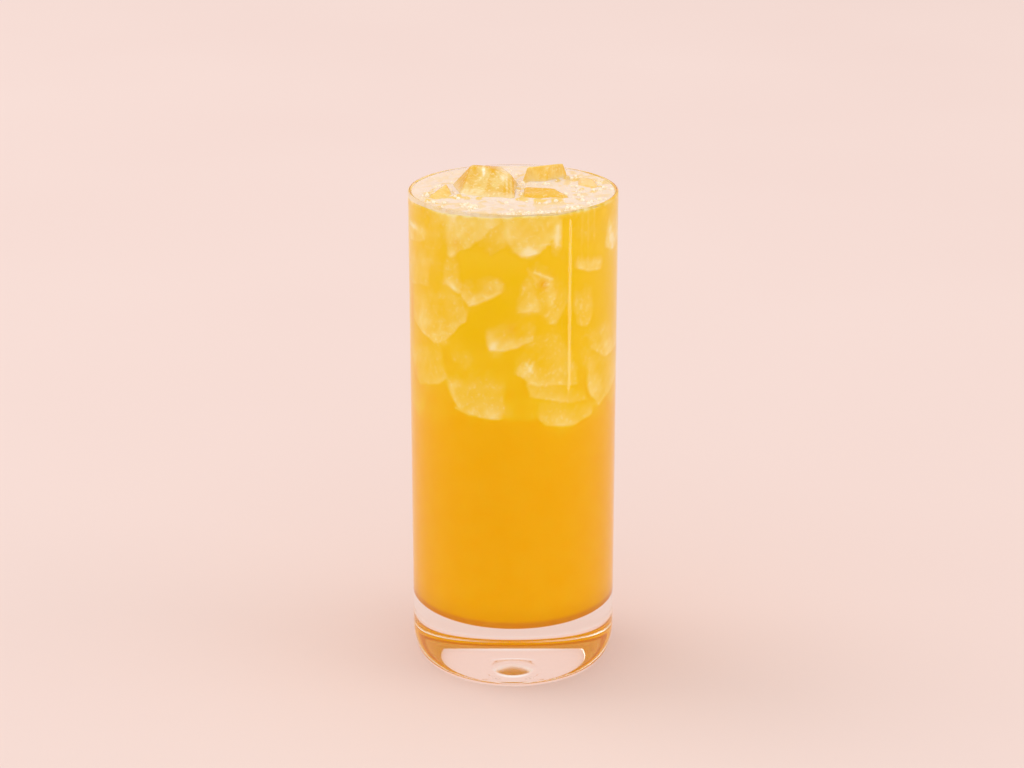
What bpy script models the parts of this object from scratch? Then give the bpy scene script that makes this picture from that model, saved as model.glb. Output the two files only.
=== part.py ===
"""Iced pineapple fruit tea in its straight tumbler.

The tumbler is one turned solid with a thin wall and a thick, heavy base.
The drink fills it almost to the rim, a thin layer of pale foam lies on the
drink, and five chunks of ice stand up through the foam.

Metres, +Z up. The origin is at the middle of the underside of the tumbler,
on the surface that it stands on. The front of the drink faces -Y.
"""

import math
from itertools import product

import bmesh
import bpy
from mathutils import Vector

MM = 0.001

# Tumbler
GLASS_HEIGHT = 150 * MM
GLASS_RADIUS = 31.3 * MM
WALL = 1.2 * MM
EDGE_WIDTH = 5 * MM
EDGE_HEIGHT = 11 * MM
FLOOR_HEIGHT = 19 * MM
FLOOR_CURVE_WIDTH = 8 * MM
FLOOR_CURVE_HEIGHT = 10 * MM
FOOT_INNER_RADIUS = 20 * MM
HOLLOW_DEPTH = 0.6 * MM
HOLLOW_RADII = (7 * MM, 10 * MM, 14 * MM)
DIMPLE_RADIUS = 4.4 * MM
DIMPLE_DEPTH = 0.7 * MM
DIMPLE_SHARES = (0.0, 0.35, 0.7)
RIDGE_RADIUS = 5.4 * MM
RIDGE_HEIGHT = 0.15 * MM
GLASS_SIDES = 72
SMOOTH_ANGLE = 40

# Contents
GAP = 0.3 * MM
DRINK_LEVEL = 148.1 * MM
FOAM_TOP = 149.5 * MM
FOAM_SWELL = 0.22 * MM
FOAM_WAVE_X = 5.1 * MM
FOAM_WAVE_Y = 6.3 * MM
FOAM_WAVE_ACROSS = 3.9 * MM
FOAM_RIM_RISE = 0.18 * MM
FOAM_RINGS = 12

# Ice chunks, in millimetres: the corners of the foot in the foam, round from
# the front left, and the corners of the crest with their rise over the foam
ICE_CHUNKS = {
    "ice_peak": dict(foot=((-15.8, -8.2), (-9, -10.6), (0.6, -11.4), (1.6, 7.5), (-4, 12.5), (-18.4, 6.4)),
                     crest=((-12.4, 4.6, 6.7), (-6.4, 1.6, 6.4), (-0.4, 1.0, 4.4), (-3.6, 8.6, 5.2))),
    "ice_back": dict(foot=((2.6, 8.8), (9.6, 8.2), (16.6, 15.8), (14.2, 20.6), (4.4, 17.8)),
                     crest=((4.2, 9.8, 4.6), (11.0, 11.2, 5.0), (15.1, 15.2, 4.5), (6.2, 15.8, 3.4))),
    "ice_left": dict(foot=((-25.9, -11.4), (-22.0, -14.4), (-17.5, -9.6), (-19.2, -0.4), (-22.6, 0.6)),
                     crest=((-23.2, -9.2, 1.5), (-19.9, -3.4, 2.8), (-19.4, -2.2, 2.0))),
    "ice_low": dict(foot=((2.5, -11.0), (10.5, -13.4), (18.2, -12.6), (13.8, -2.6), (2.9, -0.2)),
                    crest=((3.6, -9.0, 1.1), (14.6, -10.6, 0.8), (11.8, -4.0, 1.6), (3.7, -1.8, 1.5))),
    "ice_right": dict(foot=((18.8, 3.4), (23.6, -0.8), (26.2, 0.4), (25.0, 9.2), (19.4, 13.6)),
                      crest=((20.2, 4.6, 1.0), (24.4, 1.6, 0.8), (23.4, 8.2, 1.6), (20.2, 11.4, 1.3))),
}
ICE_DEPTH = 11 * MM
ICE_KEEL_SHARE = 0.66

INNER_RADIUS = GLASS_RADIUS - WALL


def clear_file():
    """Remove what a new file starts with."""
    for thing in list(bpy.data.objects):
        bpy.data.objects.remove(thing, do_unlink=True)


def principled(name, color, roughness, transmission=0.0):
    """One plain material of a base colour, a roughness and a see-through share."""
    material = bpy.data.materials.new(name)
    material.use_nodes = True
    shader = material.node_tree.nodes["Principled BSDF"]
    shader.inputs["Base Color"].default_value = (*color, 1.0)
    shader.inputs["Roughness"].default_value = roughness
    shader.inputs["Metallic"].default_value = 0.0
    shader.inputs["Transmission Weight"].default_value = transmission
    material.diffuse_color = (*color, 1.0)
    return material


def add_object(name, mesh_data, material):
    """Put a finished bmesh into the scene as one named object."""
    mesh = bpy.data.meshes.new(name)
    mesh_data.to_mesh(mesh)
    mesh_data.free()
    thing = bpy.data.objects.new(name, mesh)
    bpy.context.collection.objects.link(thing)
    mesh.materials.append(material)
    return thing


def smooth(thing):
    """Shade a round piece smooth, with its edges left crisp."""
    thing.data.shade_smooth()
    thing.data.set_sharp_from_angle(angle=math.radians(SMOOTH_ANGLE))


def arc(middle, width, height, start, end, steps):
    """Points of an elliptic arc in the upright plane, angles in degrees."""
    points = []
    for step in range(steps + 1):
        angle = math.radians(start + (end - start) * step / steps)
        points.append((middle[0] + width * math.cos(angle), middle[1] + height * math.sin(angle)))
    return points


def turned(profile, sides):
    """Spin a profile that starts and ends on the axis into a closed solid."""
    solid = bmesh.new()
    points = [solid.verts.new((radius, 0.0, height)) for radius, height in profile]
    edges = [solid.edges.new(pair) for pair in zip(points, points[1:])]
    bmesh.ops.spin(solid, geom=points + edges, cent=(0, 0, 0), axis=(0, 0, 1),
                   angle=2 * math.pi, steps=sides, use_duplicate=False)
    bmesh.ops.remove_doubles(solid, verts=solid.verts, dist=1e-6)
    bmesh.ops.recalc_face_normals(solid, faces=solid.faces)
    return solid


def hollow_height(radius):
    """Height of the shallow hollow, which fades out towards the foot."""
    return HOLLOW_DEPTH * (1.0 - (radius / FOOT_INNER_RADIUS) ** 2) ** 2


def underside():
    """The dimple in the middle, the ridge round it, the hollow and the flat foot."""
    dimple = []
    for share in DIMPLE_SHARES:
        radius = DIMPLE_RADIUS * share
        dimple.append((radius, hollow_height(radius) + DIMPLE_DEPTH * (1.0 - share ** 2)))
    dimple.append((DIMPLE_RADIUS, hollow_height(DIMPLE_RADIUS)))
    ridge = [(RIDGE_RADIUS, hollow_height(RIDGE_RADIUS) - RIDGE_HEIGHT)]
    hollow = [(radius, hollow_height(radius)) for radius in HOLLOW_RADII]
    return dimple + ridge + hollow + [(FOOT_INNER_RADIUS, 0.0)]


def outer_edge():
    """The round edge between the foot and the wall."""
    middle = (GLASS_RADIUS - EDGE_WIDTH, EDGE_HEIGHT)
    return arc(middle, EDGE_WIDTH, EDGE_HEIGHT, -90, 0, 9)


def rim():
    """The fire-polished rim, half a circle across the wall."""
    middle = (GLASS_RADIUS - WALL / 2, GLASS_HEIGHT - WALL / 2)
    return arc(middle, WALL / 2, WALL / 2, 0, 180, 6)


def inside(inset):
    """The inner wall, its curve and the floor, moved in by an inset."""
    wall = INNER_RADIUS - inset
    middle = (INNER_RADIUS - FLOOR_CURVE_WIDTH, FLOOR_HEIGHT + FLOOR_CURVE_HEIGHT)
    curve = arc(middle, FLOOR_CURVE_WIDTH - inset, FLOOR_CURVE_HEIGHT - inset, 0, -90, 8)
    return [(wall, curve[0][1])] + curve[1:] + [(0.0, FLOOR_HEIGHT + inset)]


def make_tumbler(material):
    """The whole tumbler as one turned solid."""
    profile = underside() + outer_edge() + rim() + inside(0.0)
    tumbler = add_object("glass", turned(profile, GLASS_SIDES), material)
    smooth(tumbler)
    return tumbler


def make_drink(material):
    """The drink up to its level, clear of the wall by the gap."""
    top = [(0.0, DRINK_LEVEL), (INNER_RADIUS - GAP, DRINK_LEVEL)]
    drink = add_object("drink", turned(top + inside(GAP), GLASS_SIDES), material)
    smooth(drink)
    return drink


def foam_swell(x, y):
    """Uneven height of the foam, from three long waves that cross."""
    waves = math.sin(x / FOAM_WAVE_X + 0.6) * math.cos(y / FOAM_WAVE_Y - 0.4)
    waves += 0.6 * math.sin((x + y) / FOAM_WAVE_ACROSS + 1.9)
    return FOAM_SWELL * waves


def foam_height(x, y):
    """Top of the foam, which climbs a little where it clings to the wall."""
    share = math.hypot(x, y) / (INNER_RADIUS - GAP)
    calm = 1.0 - share ** 6
    return FOAM_TOP + foam_swell(x, y) * calm + FOAM_RIM_RISE * share ** 6


def make_foam(material):
    """The layer of foam on the drink, flat below and uneven on top."""
    bottom = DRINK_LEVEL + GAP
    radius = INNER_RADIUS - GAP
    rings = [(radius * step / FOAM_RINGS, FOAM_TOP) for step in range(FOAM_RINGS + 1)]
    solid = turned(rings + [(radius, bottom), (0.0, bottom)], GLASS_SIDES)
    for point in solid.verts:
        if point.co.z > (FOAM_TOP + bottom) / 2:
            point.co.z = foam_height(point.co.x, point.co.y)
    foam = add_object("foam", solid, material)
    smooth(foam)
    return foam


def chunk_corners(chunk):
    """Corners of one chunk: its crest, its foot in the foam and its smaller keel."""
    crest = [Vector((x * MM, y * MM, FOAM_TOP + rise * MM)) for x, y, rise in chunk["crest"]]
    foot = [Vector((x * MM, y * MM, FOAM_TOP)) for x, y in chunk["foot"]]
    middle = sum(foot, Vector()) / len(foot)
    drop = Vector((0.0, 0.0, ICE_DEPTH))
    keel = [middle.lerp(corner, ICE_KEEL_SHARE) - drop for corner in foot]
    return crest + foot + keel


def ice_solid(chunk, grow):
    """A broken chunk of ice, as the hull of its corners.

    For the pocket that it sits in, each corner becomes the eight corners of a
    small cube, which makes the hull larger by grow on every side.
    """
    corners = chunk_corners(chunk)
    if grow > 0.0:
        steps = [Vector(signs) * grow for signs in product((-1, 1), repeat=3)]
        corners = [corner + step for corner in corners for step in steps]
    solid = bmesh.new()
    for corner in corners:
        solid.verts.new(corner)
    hull = bmesh.ops.convex_hull(solid, input=solid.verts)
    inner = {part for part in hull["geom_interior"] if isinstance(part, bmesh.types.BMVert)}
    bmesh.ops.delete(solid, geom=list(inner), context="VERTS")
    bmesh.ops.recalc_face_normals(solid, faces=solid.faces)
    return solid


def cut_pocket(thing, cutter):
    """Cut one chunk's pocket out of the drink or the foam."""
    cut = thing.modifiers.new("pocket of " + cutter.name, "BOOLEAN")
    cut.operation = "DIFFERENCE"
    cut.object = cutter
    cut.solver = "EXACT"


def make_ice(material, hosts):
    """The five chunks, each with its pocket cut out of every host."""
    for name, chunk in ICE_CHUNKS.items():
        add_object(name, ice_solid(chunk, 0.0), material)
        cutter = add_object(name + "_pocket", ice_solid(chunk, GAP), material)
        cutter.hide_render = True
        cutter.display_type = "WIRE"
        for host in hosts:
            cut_pocket(host, cutter)


def main():
    """Make the tumbler and all that it holds."""
    clear_file()
    glass = principled("clear glass", (0.98, 0.98, 0.98), 0.02, transmission=1.0)
    juice = principled("orange juice tea", (0.90, 0.42, 0.02), 0.15)
    froth = principled("pale foam", (0.95, 0.75, 0.45), 0.6)
    frozen = principled("juice-tinted ice", (0.93, 0.60, 0.20), 0.08, transmission=0.4)
    make_tumbler(glass)
    drink = make_drink(juice)
    foam = make_foam(froth)
    make_ice(frozen, (drink, foam))


main()
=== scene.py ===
# %% [markdown]
# # Iced pineapple fruit tea, built from surfaces
# This lesson dresses a finished set of solids: a tumbler, the drink in it, a
# layer of foam and five chunks of ice. The solids give the true sizes and
# places. Here each one gets its fine surface and its finish. Every surface is
# a formula worked out with numpy on a grid, so the shape of each piece can be
# read from a few lines.

# %% Load the fixed frame
import math

import bpy
import numpy as np
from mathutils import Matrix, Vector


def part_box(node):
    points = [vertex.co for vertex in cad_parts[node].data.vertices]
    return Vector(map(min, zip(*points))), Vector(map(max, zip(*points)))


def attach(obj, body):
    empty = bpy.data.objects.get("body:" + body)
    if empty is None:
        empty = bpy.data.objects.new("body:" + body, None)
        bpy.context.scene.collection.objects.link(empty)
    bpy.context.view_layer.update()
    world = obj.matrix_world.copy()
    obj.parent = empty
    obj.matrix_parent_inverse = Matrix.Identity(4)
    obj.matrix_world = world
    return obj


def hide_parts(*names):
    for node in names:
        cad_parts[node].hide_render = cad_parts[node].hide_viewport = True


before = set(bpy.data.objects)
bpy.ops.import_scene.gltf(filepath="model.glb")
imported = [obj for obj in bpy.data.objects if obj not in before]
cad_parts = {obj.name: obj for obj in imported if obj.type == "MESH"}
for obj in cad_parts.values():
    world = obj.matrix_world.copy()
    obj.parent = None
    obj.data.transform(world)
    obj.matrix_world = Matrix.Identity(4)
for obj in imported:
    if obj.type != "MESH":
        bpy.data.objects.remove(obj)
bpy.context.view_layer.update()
print("solids:", sorted(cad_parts))

# %% [markdown]
# ## Sizes
# The outer size of the tumbler and the level of the drink are read from the
# solids, so the dressed pieces can never drift away from them. The sizes that
# the boxes can't tell, such as the wall and the round edge at the bottom, are
# named here in millimetres.

# %% Named sizes
MM = 0.001
glass_low, glass_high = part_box("glass")
drink_low, drink_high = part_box("drink")
foam_low, foam_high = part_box("foam")

RADIUS = glass_high.x
HEIGHT = glass_high.z
WALL = 1.2 * MM
BORE = RADIUS - WALL
EDGE_WIDTH = 5 * MM
EDGE_HEIGHT = 11 * MM
FLOOR_CURVE_WIDTH = 8 * MM
FLOOR_CURVE_HEIGHT = 10 * MM
SOLID_GAP = 0.3 * MM
FLOOR_HEIGHT = drink_low.z - SOLID_GAP
FOOT_INNER_RADIUS = 20 * MM
HOLLOW_DEPTH = 0.6 * MM
DIMPLE_RADIUS = 4.4 * MM
DIMPLE_DEPTH = 0.7 * MM
DIMPLE_FROST = 0.25
FROST_EDGE = 1.1 * DIMPLE_RADIUS
RIDGE_RADIUS = 5.4 * MM
RIDGE_WIDTH = 0.8 * MM
RIDGE_HEIGHT = 0.15 * MM
BITE = 0.12 * MM
for label, low, high in (
        ("glass", glass_low, glass_high), ("drink", drink_low, drink_high), ("foam", foam_low, foam_high)):
    print(label, "solid in mm: from", round(low.z / MM, 1), "to", round(high.z / MM, 1))
print("tumbler", round(2 * RADIUS / MM, 1), "mm wide")
print("floor of the bore at", round(FLOOR_HEIGHT / MM, 1), "mm")

# %% [markdown]
# ## From a grid of points to a mesh
# A turned tumbler, a lump of ice and a bubble are all closed surfaces of the
# same kind: rows of points that go round like the lines of latitude on a
# globe, with one point at each pole. One helper makes them all. It joins
# neighbouring rows with quads, closes the poles with triangles, and turns the
# faces to the outside when the enclosed volume comes out negative.

# %% Faces of a globe
def globe_faces(rows, columns):
    """Corner numbers of a globe's quads and pole triangles.

    Point 0 is the first pole, then come the rows, and the last point is the
    other pole.
    """
    ring = np.arange(columns)
    after = (ring + 1) % columns
    starts = 1 + columns * np.arange(rows - 1)[:, None]
    below = starts + columns
    quads = np.stack([starts + ring, starts + after, below + after, below + ring], axis=-1)
    first = np.stack([np.zeros(columns, int), 1 + after, 1 + ring], axis=-1)
    base = 1 + columns * (rows - 1)
    last = np.stack([np.full(columns, base + columns), base + ring, base + after], axis=-1)
    return quads.reshape(-1, 4), np.concatenate([first, last])


def globe_points(grid):
    """Stack a (rows, columns, 3) grid into points, with each pole row as one point."""
    top = grid[0].mean(axis=0, keepdims=True)
    bottom = grid[-1].mean(axis=0, keepdims=True)
    return np.concatenate([top, grid[1:-1].reshape(-1, 3), bottom])


print("quads and triangles of 3 rows of 8 points:", [len(faces) for faces in globe_faces(3, 8)])


# %% Points and faces into a mesh
def signed_volume(points, triangles):
    """Sum of the volumes of the tetrahedra between the origin and each triangle."""
    a, b, c = (points[triangles[:, corner]] for corner in range(3))
    return np.einsum("ij,ij->i", a, np.cross(b, c)).sum() / 6


def mesh_object(name, points, quads, triangles):
    """Put points, quads and triangles into a mesh with foreach_set."""
    halves = np.concatenate([quads[:, [0, 1, 2]], quads[:, [0, 2, 3]], triangles])
    if signed_volume(points - points.mean(axis=0), halves) < 0:
        quads, triangles = quads[:, ::-1], triangles[:, ::-1]
    corners = np.concatenate([quads.ravel(), triangles.ravel()])
    sizes = np.concatenate([np.full(len(quads), 4), np.full(len(triangles), 3)])
    starts = np.concatenate([[0], np.cumsum(sizes)[:-1]])
    mesh = bpy.data.meshes.new(name)
    mesh.vertices.add(len(points))
    mesh.vertices.foreach_set("co", points.astype(np.float32).ravel())
    mesh.loops.add(len(corners))
    mesh.loops.foreach_set("vertex_index", corners.astype(np.int32))
    mesh.polygons.add(len(sizes))
    mesh.polygons.foreach_set("loop_start", starts.astype(np.int32))
    mesh.update(calc_edges=True)
    mesh.validate()
    mesh.shade_smooth()
    thing = bpy.data.objects.new(name, mesh)
    bpy.context.scene.collection.objects.link(thing)
    return thing


def globe(name, grid):
    """One closed piece from one grid."""
    quads, triangles = globe_faces(grid.shape[0] - 2, grid.shape[1])
    return mesh_object(name, globe_points(grid), quads, triangles)


def globes(name, grids):
    """Many closed pieces of one grid size, joined into one mesh."""
    quads, triangles = globe_faces(grids[0].shape[0] - 2, grids[0].shape[1])
    parts = [globe_points(grid) for grid in grids]
    shifts = len(parts[0]) * np.arange(len(parts))[:, None, None]
    quads = (quads[None] + shifts).reshape(-1, 4)
    triangles = (triangles[None] + shifts).reshape(-1, 3)
    return mesh_object(name, np.concatenate(parts), quads, triangles)


# %% A profile carried round the axis
def turned(profile, sides):
    """Carry a profile of (radius, height) points once round the axis."""
    profile = np.asarray(profile, float)
    angle = 2 * np.pi * np.arange(sides) / sides
    x = profile[:, :1] * np.cos(angle)
    y = profile[:, :1] * np.sin(angle)
    z = np.repeat(profile[:, 1:], sides, axis=1)
    return np.stack([x, y, z], axis=-1)


print("5 points carried round 8 sides make a grid of", turned(np.ones((5, 2)), 8).shape[:2])

# %% [markdown]
# ## The tumbler's profile
# The real tumbler is pressed and then fire-polished: every edge is round. Its
# profile runs along the underside, round the wide bottom edge, up the outer
# wall, over the rim, down the inner wall, round the curve at the bottom of
# the bore and back to the axis. A profile is the natural way to describe what
# was made in a turned mould. The many points on the curves matter, because
# light bends at each face of clear glass and shows every facet.

# %% Lines and arcs
SAME_POINT = 1e-7


def arc(middle, width, height, start, end, steps):
    """Points of an elliptic arc: middle plus (width cos a, height sin a), angles in degrees."""
    angle = np.radians(np.linspace(start, end, steps + 1))
    return np.column_stack([middle[0] + width * np.cos(angle), middle[1] + height * np.sin(angle)])


def straight(start, end, steps):
    """Evenly spaced points from start to end."""
    share = np.linspace(0, 1, steps + 1)[:, None]
    return (1 - share) * np.asarray(start) + share * np.asarray(end)


def joined(*runs):
    """Join runs of points and drop points that repeat the one before."""
    points = np.concatenate(runs)
    step = np.linalg.norm(np.diff(points, axis=0), axis=1)
    return points[np.concatenate([[True], step > SAME_POINT])]


print("an arc of 4 steps:", arc((0, 0), 1, 1, 0, 90, 4).round(2).tolist())

# %% The profile from underside to floor
GLASS_SIDES = 256
UNDERSIDE_STEPS = 120
EDGE_STEPS = 40
WALL_STEPS = 24
RIM_STEPS = 14
FLOOR_STEPS = 36


def underside():
    """The dimple, the low ridge round it, and the shallow hollow that fades out to the foot."""
    radius = np.linspace(0, FOOT_INNER_RADIUS, UNDERSIDE_STEPS)
    hollow = HOLLOW_DEPTH * (1 - (radius / FOOT_INNER_RADIUS) ** 2) ** 2
    dimple = DIMPLE_DEPTH * np.clip(1 - (radius / DIMPLE_RADIUS) ** 2, 0, 1)
    ridge = RIDGE_HEIGHT * np.exp(-((radius - RIDGE_RADIUS) / RIDGE_WIDTH) ** 2)
    return np.column_stack([radius, hollow + dimple - ridge])


def bore_line(inset, steps):
    """The inner wall from the top of its bottom curve, the curve and the floor, moved in by inset."""
    middle = (BORE - FLOOR_CURVE_WIDTH, FLOOR_HEIGHT + FLOOR_CURVE_HEIGHT)
    curve = arc(middle, FLOOR_CURVE_WIDTH - inset, FLOOR_CURVE_HEIGHT - inset, 0, -90, steps)
    return joined(curve, straight(curve[-1], (0.0, FLOOR_HEIGHT + inset), steps // 3))


def tumbler_profile():
    """The whole profile, from the middle of the underside to the middle of the floor."""
    edge = arc((RADIUS - EDGE_WIDTH, EDGE_HEIGHT), EDGE_WIDTH, EDGE_HEIGHT, -90, 0, EDGE_STEPS)
    wall = straight(edge[-1], (RADIUS, HEIGHT - WALL / 2), WALL_STEPS)
    rim = arc((RADIUS - WALL / 2, HEIGHT - WALL / 2), WALL / 2, WALL / 2, 0, 180, RIM_STEPS)
    inner = bore_line(0.0, FLOOR_STEPS)
    return joined(underside(), edge, wall, rim, straight(rim[-1], inner[0], WALL_STEPS), inner)


tumbler = globe("tumbler", turned(tumbler_profile(), GLASS_SIDES))
print("tumbler:", len(tumbler.data.polygons), "faces")

# %% [markdown]
# ## Chunks of ice as rounded polyhedra
# Crushed ice breaks along flat faces, and the drink melts its edges round. A
# convex chunk is a set of planes, each with a normal n and a distance h from
# the middle. Along a direction u the plane is met at h / (n . u), and the
# surface is at the nearest plane. A softened nearest, the p-norm, rounds the
# edges by itself: 1 / r is the sum of ((n . u) / h)^p, to the power 1 / p.

# %% The rounded polyhedron
MELT_WAVES = 4
MELT_TURNS = 3.0
TINY = 1e-12


def directions(rows, columns):
    """Unit vectors on a globe's grid, from the north pole to the south pole."""
    polar = np.pi * np.arange(rows + 2)[:, None] / (rows + 1)
    around = 2 * np.pi * np.arange(columns)[None] / columns
    x = np.sin(polar) * np.cos(around)
    y = np.sin(polar) * np.sin(around)
    z = np.cos(polar) * np.ones_like(around)
    return np.stack([x, y, z], axis=-1)


def reach(planes, along, sharpness):
    """Distance from the middle to the rounded surface along each direction."""
    normals, offsets = planes
    share = np.maximum(along @ normals.T, 0) / offsets
    return (share ** sharpness).sum(axis=-1) ** (-1 / sharpness)


def reach_wall(middle, along, radius):
    """Distance along each direction from a point inside an upright cylinder to its wall."""
    a = (along[..., :2] ** 2).sum(axis=-1) + TINY
    b = along[..., :2] @ middle[:2]
    c = middle[:2] @ middle[:2] - radius ** 2
    return (-b + np.sqrt(b * b - a * c)) / a


def melted(along, amount, draw):
    """A factor near 1 that waves slowly over the surface, as melting ice does."""
    turns = draw.normal(size=(MELT_WAVES, 3)) * MELT_TURNS
    starts = draw.uniform(0, 2 * np.pi, MELT_WAVES)
    return 1 + amount * np.sin(along @ turns.T + starts).mean(axis=-1)


cube = np.concatenate([np.eye(3), -np.eye(3)]), np.ones(6)
for sharpness in (8, 30, 70):
    corner = reach(cube, np.full(3, 3 ** -0.5), sharpness)
    print("a cube's corner at 1.73 is rounded to", round(float(corner), 2), "by sharpness", sharpness)

# %% [markdown]
# ## The chunks that stand out of the foam
# Their planes come straight from the solids: each flat face of a solid gives
# one plane. The triangles of one face share a normal and a distance, so both
# are rounded and each pair is kept once. The finer piece then has the form and
# the place of its solid, but with melted edges and a faint wave on every face.

# %% Planes from a solid
EMERGING = ["ice_peak", "ice_back", "ice_left", "ice_low", "ice_right"]
BROKEN_SHARPNESS = 70
BROKEN_GRID = (84, 132)
BROKEN_MELT = 0.012


def vectors(items, label):
    """One vector for each item of a mesh, as one array: its place, its normal or its middle."""
    values = np.zeros(3 * len(items), np.float32)
    items.foreach_get(label, values)
    return values.reshape(-1, 3).astype(float)


def solid_planes(node):
    """The flat faces of a convex solid, as a middle, normals and distances."""
    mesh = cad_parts[node].data
    points = vectors(mesh.vertices, "co")
    middle = (points.max(axis=0) + points.min(axis=0)) / 2
    normals = vectors(mesh.polygons, "normal")
    offsets = np.einsum("ij,ij->i", normals, vectors(mesh.polygons, "center") - middle)
    whole = np.column_stack([np.round(normals, 2), np.round(offsets / MM, 1)])
    _, kept = np.unique(whole, axis=0, return_index=True)
    return middle, (normals[kept], offsets[kept])


solids_of_ice = {name: solid_planes(name) for name in EMERGING}
emerging = {}
for number, name in enumerate(EMERGING):
    middle, planes = solids_of_ice[name]
    along = directions(*BROKEN_GRID)
    draw = np.random.default_rng(40 + number)
    distance = reach(planes, along, BROKEN_SHARPNESS) * melted(along, BROKEN_MELT, draw)
    emerging[name] = globe("chunk_" + name[4:], middle + along * distance[..., None])
print("chunks above the foam:", ", ".join(emerging))

# %% [markdown]
# ## The ice that is sunk in the drink
# The upper part of the drink is packed with broken ice that leans on the wall.
# Through cloudy tea a chunk shows as a soft pale patch. Its lower edges are the
# clearest, because there it touches the wall, and it fades upward where its
# face falls back. The wall is unrolled here: a place on it is an angle and a
# height, and a chunk is a few corners. The chunks at the front are measured
# from the picture.

# %% Outlines of the ice at the front
# Each row: strength, fade length in millimetres, and corners as (angle round
# the wall in degrees, 0 at the front and positive to the right, height in mm)
FRONT_ICE = [
    (0.62, 6, [(-33, 90.5), (-25, 88.5), (-5.5, 87.8), (-4.5, 89.5), (-4, 101.4), (-40.5, 99),
               (-37.5, 93.9)]),
    (0.5, 7, [(13.5, 88.1), (18.5, 85.1), (38, 84.2), (50, 86.2), (51, 89.4), (39.5, 93.8), (22.5, 94.8),
              (14, 92.4)]),
    (0.62, 6, [(-14.5, 110.8), (-12.5, 107.6), (-4.5, 109), (10, 109.2), (11.5, 112), (12.5, 118.9),
               (-0.5, 120.3), (-15.5, 116.4)]),
    (0.5, 14, [(1, 101.4), (9.5, 98.9), (38, 96.6), (38.5, 102.3), (30, 111.2), (20.5, 114.6),
               (5.5, 112.4), (-1, 105.7)]),
    (0.42, 12, [(9.5, 94.8), (26, 92.2), (47.5, 91), (46, 93.4), (37.5, 97.9), (15, 101.1), (5.5, 100.2)]),
    (0.52, 12, [(-73.5, 112.4), (-58.5, 109.9), (-45.5, 108.1), (-35, 112.5), (-26, 117), (-24, 119.9),
                (-32, 126.2), (-52.5, 125.9), (-74.5, 121)]),
    (0.6, 7, [(-42, 130.7), (-40.5, 127.3), (-31, 125.2), (-29, 127.6), (-30, 136.9), (-39, 137.6)]),
    (0.58, 6, [(-31, 125.5), (-24.5, 121.7), (-19.5, 122.7), (-5.5, 126.3), (-4, 129.1), (-4.5, 132.3),
               (-17, 133.8), (-28, 130.7)]),
    (0.5, 9, [(45.5, 94.6), (56, 87.7), (65.5, 89.9), (87.5, 94), (87.5, 99.4), (57, 105.3), (44, 103.6)]),
    (0.34, 14, [(34.5, 119), (37, 115.6), (45.5, 113.9), (50.5, 117.3), (48.5, 126.4), (34.5, 127.8)]),
    (0.6, 6, [(48, 105.9), (64, 102.3), (87.5, 102.9), (87.5, 109.3), (60.5, 115.6), (44.5, 111.9)]),
    (0.46, 12, [(1, 124.4), (2.5, 120.6), (14, 120.7), (15.5, 125.6), (12, 130), (8.5, 135.9),
                (4.5, 131.8)]),
    (0.44, 12, [(15, 121.1), (22, 122.7), (24, 125.7), (22, 130.9), (12, 133.2), (15.5, 127.3)]),
    (0.5, 14, [(1, 138.3), (8, 135.8), (13.5, 138.1), (27, 139.2), (27, 150.5), (-5.5, 151.3),
               (-5.5, 143)]),
    (0.6, 5, [(35.5, 132.6), (45, 130.6), (56, 129.8), (58.5, 132.4), (55, 135.3), (43, 137.5),
              (34.5, 136.9)]),
    (0.5, 14, [(-39, 136.7), (-33.5, 135.3), (-26, 138.7), (-16.5, 142.1), (-7, 147.3), (-6.5, 151.3),
               (-39.5, 149.5)]),
    (0.7, 20, [(58.5, 136.4), (71, 134.2), (84, 135.2), (82.5, 145), (64, 146.3), (60, 139.6)]),
    (0.45, 6, [(-78, 136.1), (-57.5, 138.3), (-53.5, 142), (-64.5, 145.1), (-87.5, 141.4)]),
    (0.42, 9, [(-77.5, 123), (-52.5, 125.1), (-50.5, 132.8), (-59, 136.7), (-79.5, 133.3)]),
    (0.36, 14, [(-73, 97.1), (-64, 93.2), (-51.5, 94.8), (-38.5, 98.3), (-43, 109.2), (-77, 103.7)]),
    (0.34, 12, [(17, 121.3), (19, 116.7), (24.5, 116.1), (33, 124), (30.5, 130.6), (23.5, 129)]),
    (0.34, 14, [(-16, 141.3), (-13, 137.2), (-3, 140.7), (-4, 147.8)]),
]
print(len(FRONT_ICE), "outlines at the front")

# %% [markdown]
# ## Ice for the rest of the wall
# A seeded rule packs the sides and the back in staggered rows. Each chunk is a
# ring of six corners at drawn distances from a middle. All round, a second set
# of faint and blurred chunks seems to lie deeper in the tea. It is colour only,
# and gets no solids. The seed of each set is the number given to default_rng,
# so every run draws the same ice.

# %% Outlines all round
BACK_HEIGHTS = (93, 104, 115, 126, 137, 146)
BACK_START = 98
BACK_END = 264
BACK_STEP = 29
FAINT_HEIGHTS = np.arange(89, 147, 8.5)
FAINT_STEP = 26
CORNERS = 6
CORNER_SHIFT = 0.35
# Each pair: the least and the most that is drawn, turns in degrees and sizes in mm
CORNER_FAR = (0.75, 1.12)
BACK_TURNS = (-4, 4)
BACK_RISES = (-2.5, 2.5)
BACK_WIDTHS = (6.0, 10.5)
BACK_HEIGHTS_HALF = (4.8, 8.0)
BACK_STRENGTHS = (0.36, 0.62)
BACK_FADES = (6, 14)
FAINT_TURNS = (-8, 8)
FAINT_RISES = (-3, 3)
FAINT_WIDTHS = (5, 9)
FAINT_HEIGHTS_HALF = (3.5, 6.5)
FAINT_STRENGTHS = (0.03, 0.19)
FAINT_FADE = 12.0


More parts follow.
